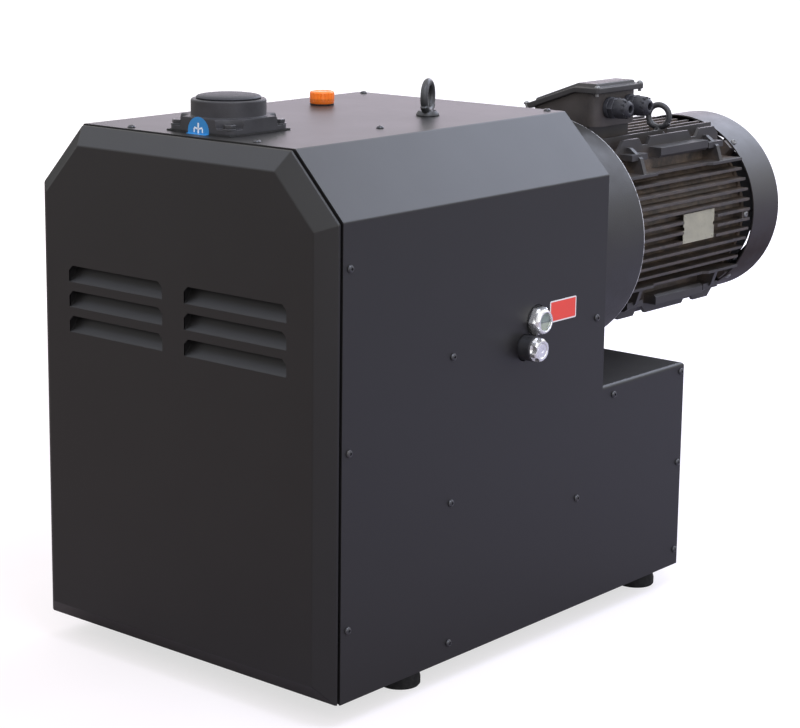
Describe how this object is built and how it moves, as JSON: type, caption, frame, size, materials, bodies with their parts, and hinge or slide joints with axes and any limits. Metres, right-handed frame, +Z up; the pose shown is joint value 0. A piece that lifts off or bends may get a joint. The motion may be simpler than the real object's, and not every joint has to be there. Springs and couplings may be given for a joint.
{
  "type": "claw vacuum pump",
  "caption": "Claw vacuum pump: geared pair of claw rotors in a louvred sheet enclosure with chamfered shoulders, silencer box, and a finned electric motor on a bell housing.",
  "frame": {"origin": "centre of the rectangle of the four feet, on the floor", "axes": "+Y runs from the louvred front panel back to the motor, +Z is up, +X points to the side with the sight glass"},
  "size_m": [0.53, 1.181, 0.728],
  "materials": {
    "powder_black": "satin",
    "frame_black": "satin",
    "cast_black": "rough",
    "cast_grey": "rough",
    "motor_black": "satin",
    "steel": "brushed",
    "dark_steel": "satin",
    "zinc": "satin",
    "chrome": "polished",
    "rubber_black": "matte",
    "gasket": "matte",
    "plastic_black": "matte",
    "plastic_orange": "satin",
    "plastic_grey": "matte",
    "elastomer_red": "matte",
    "aluminium": "satin",
    "glass": "clear",
    "label": "matte",
    "copper": "satin",
    "fan_plastic": "matte"
  },
  "bodies": {
    "machine": {"base_frame": "frame_black", "pump_stand": "frame_black", "side_posts": "frame_black", "rubber_feet": "rubber_black", "front_panel": "powder_black", "front_seal": "gasket", "hood": "powder_black", "rear_wall": "powder_black", "rear_cover": "powder_black", "panel_screws": "dark_steel", "inlet_gasket": "gasket", "inlet_flange": "cast_black", "inlet_bolts": "dark_steel", "inlet_pipe": "cast_black", "oil_filler": "steel", "sight_glass": "chrome", "sight_lens": "glass", "drain_extension": "dark_steel", "drain_plug": "chrome", "service_labels": "label", "lifting_eye": "dark_steel", "pump_housing": "cast_grey", "front_plate": "cast_grey", "gearbox_housing": "cast_grey", "gearbox_cover": "cast_grey", "shaft_bearings": "steel", "shaft_seals": "rubber_black", "housing_bolts": "zinc", "exhaust_pipe": "steel", "silencer": "frame_black", "outlet_flange": "cast_black", "bell_housing": "cast_black", "motor_flange": "motor_black", "motor_frame": "motor_black", "motor_end_shield": "motor_black", "motor_stator": "copper", "fan_cowl": "motor_black", "motor_screws": "zinc", "terminal_box": "motor_black", "terminal_lid": "motor_black", "cable_glands": "plastic_black", "terminal_block": "plastic_grey", "motor_eye": "dark_steel", "nameplate": "aluminium"},
    "drive_train": {"drive_shaft": "steel", "drive_claw": "steel", "drive_gear": "steel", "cooling_fan": "aluminium", "coupling_hubs": "cast_grey", "coupling_spider": "elastomer_red", "motor_rotor": "steel", "motor_fan": "fan_plastic"},
    "driven_train": {"driven_shaft": "steel", "driven_claw": "steel", "driven_gear": "steel"},
    "inlet_cap": {"inlet_cap": "plastic_black"},
    "oil_cap": {"oil_cap": "plastic_orange"},
    "valve": {"valve_disc": "aluminium", "valve_spring": "steel"}
  },
  "joints": [
    {"name": "drive_spin", "type": "hinge", "parent": "machine", "child": "drive_train", "pos_m": [0, 0, 0.4755], "axis": [0, 1, 0], "continuous": true},
    {"name": "driven_spin", "type": "hinge", "parent": "machine", "child": "driven_train", "pos_m": [0.12, 0, 0.4755], "axis": [0, 1, 0], "continuous": true},
    {"name": "inlet_cap_lift", "type": "slide", "parent": "machine", "child": "inlet_cap", "axis": [0, 0, 1], "range_m": [0, 0.2]},
    {"name": "oil_cap_lift", "type": "slide", "parent": "machine", "child": "oil_cap", "axis": [0, 0, 1], "range_m": [0, 0.04]},
    {"name": "valve_open", "type": "slide", "parent": "machine", "child": "valve", "axis": [0, 0, -1], "range_m": [0, 0.01], "stiffness_N_per_m": 60, "springref_m": -0.02, "deforming": ["valve_spring"]}
  ],
  "couplings": [
    {"joint": "driven_spin", "follows": "drive_spin", "ratio": -1}
  ]
}
